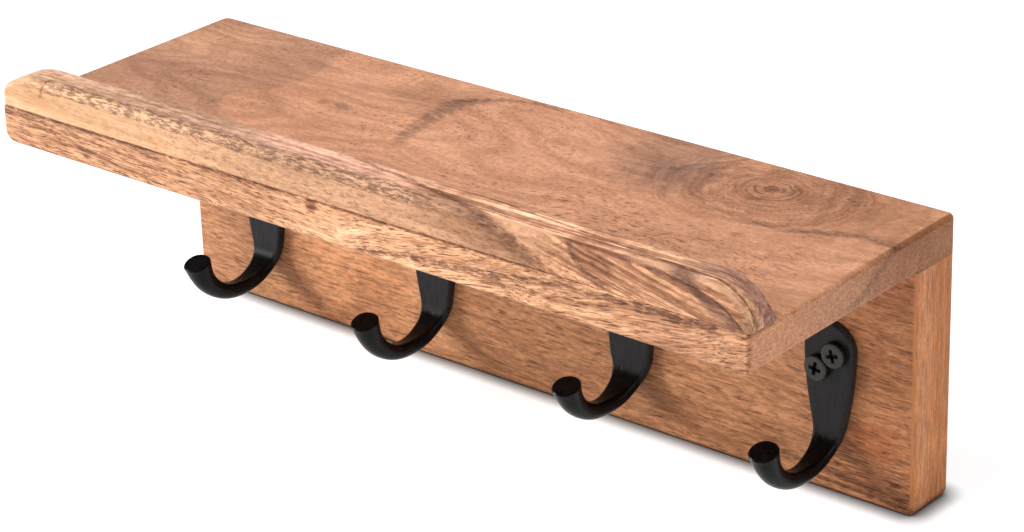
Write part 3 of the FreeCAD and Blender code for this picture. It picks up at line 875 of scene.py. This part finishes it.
@dataclass(frozen=True)
class FrontLip:
    """The strip along the front: pale sapwood on the left, streaked heartwood on the right."""

    front: float = -88.9
    top: float = 54.7
    pale: Colour = (0.85, 0.5, 0.285)
    tan: Colour = (0.645, 0.36, 0.206)
    orange: Colour = (0.79, 0.445, 0.268)
    brown: Colour = (0.4, 0.33, 0.3)

    def dress(self, nodes: Nodes) -> None:
        """Gives the lip its finish.

        Args:
            nodes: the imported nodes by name.
        """
        washes = (Wash("x", -95, -20, self.tan), Wash("x", 15, 85, self.orange))
        speckle = Figure((0.1, 1.2, 0.7), 0.35, 0.66, (0.6, 0.55, 0.54), (1.42, 1.4, 1.4), (), 4, 0.78)
        marks = self._upper_marks() + self._face_marks()
        finish = WoodFinish("lip_wood", self.pale, washes, self._figures(), marks, self._pores(),
                            end_grain=(speckle,), waviness=(2.5, 2.5))
        dress(nodes, "front_lip", finish.material())

    def _upper(self) -> Zones:
        """The top face, behind the rounded front edge."""
        return (Zone("y", self.front + 3, self.front + 14, 2),)

    def _skin(self, depth: float, soft: float) -> Zones:
        """The front face and what lies up to a depth behind it."""
        return (Zone("y", self.front - 6, self.front + depth, soft),)

    def _face(self) -> Zones:
        """The front face alone."""
        return self._skin(0.4, 1.2)

    def _figures(self) -> Figures:
        """Layers that lie one behind the other on top, and long lines on the front.

        Returns:
            The layers.
        """
        upper = self._upper()
        face = self._face()
        left = upper + (Zone("x", -140, 0, 30),)
        middle = upper + (Zone("x", 30, 112, 16),)
        right = face + (Zone("x", 75, 130, 20),)
        lean = (0, 0.2)
        return (
            Figure((0.02, 0.05, 0.08), 0.35, 0.7, (0.86, 0.84, 0.8), 1.04),
            Figure((0.02, 0.1, 0.2), 0.25, 0.55, (0.86, 0.87, 0.98), (1, 1.01, 1.1), left),
            Figure((0.01, 0.85, 0.08), 0.38, 0.62, (0.76, 0.72, 0.72), (1.12, 1.14, 1.18), left),
            Figure((0.01, 0.85, 0.08), 0.43, 0.57, (0.52, 0.45, 0.41), (1.22, 1.24, 1.26), middle),
            Figure((0.25, 0.7, 0.7), 0.34, 0.66, (0.66, 0.58, 0.54), 1.18, upper, 4, 0.72),
            Figure((0.016, 0.3, 0.5), 0.38, 0.7, (0.82, 0.76, 0.7), 1.06, face,
                   slope=(0, 0.03)),
            Figure((0.3, 1.1, 1.3), 0.3, 0.7, (0.76, 0.71, 0.67), 1.13, face, 4, 0.78,
                   strength=0.85),
            Figure((0.016, 0.3, 1), 0.44, 0.58, (0.6, 0.51, 0.45), 1.22, right, slope=lean),
            Figure((0.3, 0.9, 1.1), 0.36, 0.66, (0.66, 0.58, 0.53), 1.14, right, 4, 0.72,
                   lean),
        )

    def _pores(self) -> Figures:
        """Open pores, crowded along the rounded front edge.

        Returns:
            The layers.
        """
        brow = self._skin(3, 0.9) + (Zone("z", self.top - 2.2, self.top + 1, 0.8), Zone("x", -100, 20, 30))
        middle = self._face() + (Zone("x", -50, 70, 40),)
        return (
            Figure((0.35, 1.6, 1.8), 0.56, 0.72, (0.6, 0.52, 0.47), detail=2, strength=0.45),
            Figure((0.34, 1.2, 1.5), 0.42, 0.57, (0.34, 0.3, 0.28), (1.06, 1.08, 1.1), brow, 4, 0.75,
                   strength=0.95),
            Figure((0.42, 1.5, 1.5), 0.48, 0.66, (0.52, 0.46, 0.42), 1.04, middle, 4, 0.75,
                   strength=0.9),
        )

    def _upper_marks(self) -> Marks:
        """The light middle, the two dark lines and the mauve right end of the top face.

        Returns:
            The marks.
        """
        upper = self._upper()
        slant = ((-6, -78.6), (16.7, -81.8), (33.3, -84.7), (50, -88.6))
        line = ((42, -79), (75, -81.8), (100, -83.9), (135, -86))
        crest = Zone("z", self.top - 2.2, self.top + 5.3, 1)
        return (
            Mark((1.56, 1.56, 1.68), zones=upper + (Zone("x", -18, 66, 34),)),
            Streak(self.brown, slant, (0.9, 2), 1.2, plane=Plane.TOP, zones=(crest,)),
            Streak((0.34, 0.26, 0.23), line, (0.6, 0.6), 0.5, plane=Plane.TOP, zones=upper),
            Mark((0.56, 0.52, 0.61), zones=(Zone("x", 114, 130, 14), Zone("y", -82.5, -70, 0.8))),
        )

    def _face_marks(self) -> Marks:
        """The front's seam line, nick and warm spot, and the slanting streaks and clouds of its right half.

        Returns:
            The marks.
        """
        face = self._face()
        seam = ((-165, 44.75), (-20, 44.75), (30, 44.8), (95, 44.8))
        nick = ((49.5, -112.2), (51.1, -110.8), (56.5, -109.4))
        first = ((36, 56.5), (46.7, 53.4), (53.3, 50.2), (60, 47.4), (70, 43.6))
        rim = ((44, 57), (51, 53.9), (57, 50.8), (63, 48), (72, 44.2))
        second = ((70.5, 58), (73.3, 55), (75, 52.2), (77.5, 49.3), (81.3, 47.2), (88, 44.6))
        third = ((98, 58), (107.5, 54.4), (111.7, 52.2), (115.8, 49.7), (120, 47.6), (128, 45.2))
        corner = ((66, 55), (90, 54.4), (105, 53.6), (112, 52.6), (118, 50.6), (122, 48.2),
                  (124.6, 46), (128, 42))
        return (
            Streak((0.34, 0.2, 0.13), seam, (0.8, 0.5), 0.15, 30, zones=face),
            Patch((0.97, 0.88, 0.8), (-66.2, 47.8), (5, 3), zones=face),
            Streak((0.5, 0.36, 0.27), nick, (0.8, 1), 0.5, 1,
                   plane=Plane.FRONT_ACROSS, zones=self._skin(2.9, 1.5)),
            Streak((0.46, 0.39, 0.34), first, (5.5, 3.4), 2.2, broken=0.7, zones=face),
            Streak((0.56, 0.47, 0.42), rim, (2, 1.8), 1.4, zones=face),
            Patch((0.66, 0.61, 0.56), (42, 50.6), (26, 8), -14),
            Streak(self.brown, second, (2.6, 2), zones=face),
            Patch((0.58, 0.49, 0.43), (81, 52), (11, 4.5), -24),
            Streak((0.36, 0.34, 0.35), third, (2.8, 3.2), broken=0.35,
                   zones=self._skin(3.9, 1.5)),
            Streak((0.36, 0.25, 0.19), corner, (0.6, 0.7), 0.3, broken=0.4,
                   zones=self._skin(1.7, 0.8)),
        )


@dataclass(frozen=True)
class BackBoard:
    """The upright board: warm brown with slanting figure, and upright lines on its right end."""

    front: float = -17.5
    ground: Colour = (0.74, 0.365, 0.178)
    dark: Colour = (0.42, 0.38, 0.36)

    def dress(self, nodes: Nodes) -> None:
        """Gives the board its finish.

        Args:
            nodes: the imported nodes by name.
        """
        marks = self._face_marks() + self._end_marks()
        finish = WoodFinish("back_wood", self.ground, (), self._figures(), marks, self._pores(),
                            end_grain=self._end_grain())
        dress(nodes, "back_board", finish.material())

    @staticmethod
    def _sides() -> Zones:
        """All of the board but its right end."""
        return (Zone("x", -140, 125.6, 0.8),)

    def _figures(self) -> Figures:
        """The layers of figure, from broad clouds to fine fibres.

        Returns:
            The layers.
        """
        sides = self._sides()
        return (
            Figure((0.02, 0.03, 0.05), 0.35, 0.7, (0.86, 0.83, 0.8), 1.05),
            Figure((0.05, 0.2, 0.25), 0.34, 0.7, (0.9, 0.88, 0.86), (1.05, 1.06, 1.06), sides,
                   slope=(0, 0.3)),
            Figure((0.04, 0.3, 0.7), 0.36, 0.68, (0.8, 0.75, 0.71), (1.08, 1.09, 1.1), sides),
            Figure((0.28, 1.1, 1.3), 0.32, 0.68, (0.68, 0.62, 0.58), 1.22, sides, 4, 0.78),
        )

    def _pores(self) -> Figures:
        """Open pores, crowded in the lower right corner.

        Returns:
            The layers.
        """
        sides = self._sides()
        corner = sides + (Zone("x", 106, 130, 14), Zone("z", -36, -23, 6))
        return (
            Figure((0.16, 1.8, 1.6), 0.54, 0.68, (0.44, 0.37, 0.33), zones=sides, detail=2, strength=0.9),
            Figure((0.16, 1.8, 2), 0.48, 0.62, (0.34, 0.28, 0.25), zones=corner, detail=2, strength=0.9),
        )

    @staticmethod
    def _end_grain() -> Figures:
        """The upright lines and the fine speckle of the ends.

        Returns:
            The layers.
        """
        return (
            Figure((0.1, 0.7, 0.05), 0.32, 0.68, (0.88, 0.8, 0.73), (1.16, 1.1, 1.02)),
            Figure((0.1, 1.8, 0.14), 0.36, 0.66, (0.78, 0.72, 0.67), (1.14, 1.14, 1.12), (), 2, 0.5),
            Figure((0.1, 1.6, 0.6), 0.36, 0.66, (0.84, 0.79, 0.75), (1.1, 1.1, 1.09), (), 4, 0.8),
        )

    def _face_marks(self) -> Marks:
        """The tones, dark lines and spots of the front face, with painted light over its left part and
        painted shade beside the third hook.

        Returns:
            The marks.
        """
        face = Zone("y", self.front - 1.5, self.front + 0.9, 0.5)
        return (
            # Painted light: a broad lighter oval over the left part of the face, lifting the shade that the
            # shelf casts there.
            Patch((1.42, 1.44, 1.46), (-58, 0), (38, 60), zones=(face,)),
            Patch((0.95, 0.8, 0.72), (116, -16), (10, 7)),
            # Painted shade: a darker spot beside the third hook, where the hook's shadow falls on the board.
            Patch((0.85, 0.83, 0.82), (45, -24), (9, 6), -36),
            Streak(self.dark, ((84, -27), (100, -28.4), (127, -31)), (1, 2), 1.2),
            Streak(self.dark, ((92, -31), (110, -31.6), (130, -33)), (0.8, 1.4), 1.2),
            Mark((0.8, 0.78, 0.78), zones=(Zone("x", -140, -106, 14),)),
            Mark(0.91, zones=(Zone("x", -12, 40, 20),)),
            Mark((0.97, 0.88, 0.83), zones=(Zone("x", 104, 130, 10), face)),
        )

    def _end_marks(self) -> Marks:
        """The right end: paler in front, more orange behind.

        Returns:
            The marks.
        """
        return (
            Mark((1.03, 0.97, 0.9), zones=(RIGHT_END, Zone("y", self.front - 1.5, self.front + 7, 3))),
            Mark((0.87, 0.72, 0.5), zones=(RIGHT_END, Zone("y", self.front + 9.5, 5, 4))),
        )


@dataclass(frozen=True)
class Dowels:
    """The pegs inside the joints, in plain pale hardwood with upright grain."""

    shelf_count: int = 4
    lip_count: int = 3
    pale: Colour = (0.72, 0.53, 0.33)

    def dress(self, nodes: Nodes) -> None:
        """Gives every peg its finish.

        Args:
            nodes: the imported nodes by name.
        """
        fine = Figure((1.8, 1.8, 0.05), 0.4, 0.7, (0.84, 0.8, 0.76), 1.04)
        pores = Figure((3, 3, 0.4), 0.58, 0.75, (0.7, 0.64, 0.58), detail=2)
        finish = WoodFinish("dowel_wood", self.pale, (), (fine,), (), (pores,), waviness=(1, 1))
        material = finish.material()
        for kind, count in (("shelf", self.shelf_count), ("lip", self.lip_count)):
            for index in range(1, count + 1):
                dress(nodes, f"{kind}_dowel_{index}", material)


@dataclass(frozen=True)
class Hooks:
    """The four forged hooks in satin black, with their dark screws."""

    count: int = 4
    plate_front: float = -20.1
    head_height: float = 2.2
    black: Colour = (0.0255, 0.0245, 0.0255)
    worn: Colour = (0.034, 0.033, 0.034)
    screw_dark: Colour = (0.052, 0.049, 0.047)
    screw_light: Colour = (0.076, 0.071, 0.067)

    def dress(self, nodes: Nodes) -> None:
        """Gives every hook and its two screws their finishes.

        Args:
            nodes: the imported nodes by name.
        """
        # Painted shade: the bent bar in front of the plate is stained far darker than the plate of the same
        # iron, standing in for shade and dark reflections.
        bar = Mark(0.11, zones=(Zone("y", -60, self.plate_front - 1.6, 1.2),))
        iron = MetalFinish("hook_iron", self.black, self.worn, 0, 0.3, 0.9, 0.14, (bar,), self._dents(), 0.1)
        head = self.plate_front - self.head_height
        # Painted shade: everything more than 0.4 mm below each screw head's top, the cross and the head's
        # sides, is stained almost black.
        recess = Mark(0.05, zones=(Zone("y", head + 0.4, head + 30, 0.2),))
        steel = MetalFinish("hook_screw_steel", self.screw_dark, self.screw_light, 0, 0.5, 0.5, 0.2,
                            (recess,))
        hook_material, screw_material = iron.material(), steel.material()
        for index in range(1, self.count + 1):
            dress(nodes, f"hook_{index}", hook_material)
            for level in ("lower", "upper"):
                dress(nodes, f"hook_{index}_{level}_screw", screw_material)

    def _dents(self) -> Marks:
        """Small dents where the bar was bent off its plate, darkened in colour too: painted shade in each
        dent.

        Returns:
            The dents.
        """
        front = Zone("y", -30, self.plate_front + 1, 0.5)
        dents = (((101.2, -17.3), (0.8, 1)), ((35.5, -16.7), (0.7, 1.4)), ((-32, -18.6), (1.6, 0.9)))
        return tuple(Patch(0.2, centre, radii, zones=(front,))
                     for centre, radii in dents)


@dataclass(frozen=True)
class Hangers:
    """The two keyhole plates on the rear, in bright plated steel, and their screws."""

    sides: Tuple[str, str] = ("left", "right")

    def dress(self, nodes: Nodes) -> None:
        """Gives the plates and their screws their finishes.

        Args:
            nodes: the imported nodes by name.
        """
        plate = MetalFinish("hanger_steel", (0.52, 0.52, 0.51), (0.64, 0.64, 0.62), 1, 0.36, 0.4, 0.1)
        screw = MetalFinish("hanger_screw_steel", (0.58, 0.57, 0.54), (0.68, 0.67, 0.63), 1, 0.3, 0.3, 0.08)
        plate_material, screw_material = plate.material(), screw.material()
        for side in self.sides:
            dress(nodes, f"{side}_keyhole_hanger", plate_material)
            for level in ("upper", "lower"):
                dress(nodes, f"{side}_hanger_{level}_screw", screw_material)


@dataclass(frozen=True)
class Lamp:
    """A large round lamp that looks at the object. Azimuth 0 is straight in front."""

    name: str
    azimuth_deg: float
    elevation_deg: float
    distance_m: float
    size_m: float
    watts: float

    def build(self) -> None:
        """Makes the lamp."""
        data = bpy.data.lights.new(self.name, "AREA")
        data.shape = "DISK"
        data.size = self.size_m
        data.energy = self.watts
        lamp = bpy.data.objects.new(self.name, data)
        away = direction(self.azimuth_deg, self.elevation_deg)
        lamp.location = away * self.distance_m
        lamp.rotation_euler = away.to_track_quat("Z", "Y").to_euler()
        bpy.context.scene.collection.objects.link(lamp)


def direction(azimuth_deg: float, elevation_deg: float) -> Vector:
    """The direction from the object to a place round it.

    Args:
        azimuth_deg: 0 straight in front, 90 to the right.
        elevation_deg: 0 level, 90 overhead.

    Returns:
        A vector of length 1.
    """
    azimuth, elevation = math.radians(azimuth_deg), math.radians(elevation_deg)
    level = math.cos(elevation)
    return Vector((math.sin(azimuth) * level, -math.cos(azimuth) * level, math.sin(elevation)))


@dataclass(frozen=True)
class Studio:
    """The pale floor, the soft light and the camera."""

    floor_level_m: float
    floor_size_m: float = 8.0
    floor_colour: Colour = (0.52, 0.52, 0.53)
    floor_glow: float = 0.85
    shade_reach_m: float = 0.0055
    shade_depth: float = 3.0
    shade_samples: int = 16
    sky_low: Colour = WHITE
    sky_high: Colour = 0.12
    sky_rise: Point = (0.05, 0.6)
    lamps: Tuple[Lamp, ...] = (
        Lamp("key_light", -25, 58, 1.6, 0.9, 23),
        Lamp("left_light", -58, 14, 1.5, 0.5, 13),
        Lamp("right_light", 86, 12, 1.5, 0.5, 4),
    )
    target: Tuple[float, float, float] = (18.4524, -44.45, 17.7839)
    distance: float = 844.6165
    azimuth_deg: float = 40.3712
    elevation_deg: float = 24.0683
    roll_deg: float = -1.8484
    lens_mm: float = 112.8175
    sensor_mm: float = 36.0

    def build(self) -> None:
        """Makes the whole studio."""
        self._floor()
        self._sky()
        for lamp in self.lamps:
            lamp.build()
        self._camera()

    def _floor(self) -> None:
        """A wide level plane under the object, white where no shadow falls, with painted contact shade: its
        colour and glow darken by ambient occlusion near the object.
        """
        half = self.floor_size_m / 2
        corners = [(-half, -half, 0), (half, -half, 0), (half, half, 0), (-half, half, 0)]
        mesh = bpy.data.meshes.new("floor")
        mesh.from_pydata(corners, [], [(0, 1, 2, 3)])
        floor = bpy.data.objects.new("floor", mesh)
        floor.location.z = self.floor_level_m
        bpy.context.scene.collection.objects.link(floor)
        material, graph = new_material("floor_paint")
        # Painted contact shade: ambient occlusion darkens the floor's colour and glow close to the object.
        reach = {"Distance": self.shade_reach_m}
        clear = graph.add("ShaderNodeAmbientOcclusion", reach, "AO", samples=self.shade_samples)
        diffuse = graph.add("ShaderNodeBsdfDiffuse", {"Color": graph.mix(clear, BLACK, self.floor_colour)})
        white = graph.mix(self._seen(graph) * clear ** self.shade_depth, BLACK, WHITE)
        glow = graph.add("ShaderNodeEmission", {"Color": white, "Strength": self.floor_glow})
        graph.end("ShaderNodeOutputMaterial", graph.add("ShaderNodeAddShader", {0: diffuse, 1: glow}))
        mesh.materials.append(material)
        floor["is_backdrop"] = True

    @staticmethod
    def _seen(graph: Graph) -> Signal:
        """1 for rays that show the background: camera, glossy and transmission rays."""
        camera, glossy, through = (graph.add("ShaderNodeLightPath", {}, f"Is {kind} Ray")
                                   for kind in ("Camera", "Glossy", "Transmission"))
        return graph.larger(graph.larger(camera, glossy), through)

    def _sky(self) -> None:
        """A sky that is white low down and dim overhead."""
        world = bpy.data.worlds.new("studio_sky")
        world.use_nodes = True
        bpy.context.scene.world = world
        graph = Graph(world.node_tree)
        ray = graph.add("ShaderNodeTexCoord", {}, "Generated")
        height = graph.add("ShaderNodeSeparateXYZ", {0: ray}, "Z")
        tone = graph.mix(graph.step(height, *self.sky_rise), self.sky_low, self.sky_high)
        sky = graph.add("ShaderNodeBackground", {"Color": tone, "Strength": 1})
        graph.end("ShaderNodeOutputWorld", sky)

    def _camera(self) -> None:
        """The camera, at the viewing angle of the photograph."""
        data = bpy.data.cameras.new("camera")
        data.sensor_width = self.sensor_mm
        data.lens = self.lens_mm
        camera = bpy.data.objects.new("camera", data)
        away = direction(self.azimuth_deg, self.elevation_deg)
        right = Vector((0, 0, 1)).cross(away).normalized()
        turn = Matrix((right, away.cross(right), away)).transposed()
        turn = turn @ Matrix.Rotation(math.radians(self.roll_deg), 3, "Z")
        camera.matrix_world = turn.to_4x4()
        camera.location = (Vector(self.target) + away * self.distance) / MM_PER_M
        bpy.context.scene.collection.objects.link(camera)
        bpy.context.scene.camera = camera


def main() -> None:
    """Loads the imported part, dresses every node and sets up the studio."""
    logging.basicConfig(level=logging.INFO, format="%(message)s")
    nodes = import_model()["nodes"]
    cad_low, cad_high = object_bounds()
    bpy.context.scene.view_settings.view_transform = "Standard"
    for assembly in (ShelfBoard(), FrontLip(), BackBoard(), Dowels(), Hooks(), Hangers()):
        assembly.dress(nodes)
    Studio(floor_level_m=cad_low[2]).build()


if __name__ == "__main__":
    main()
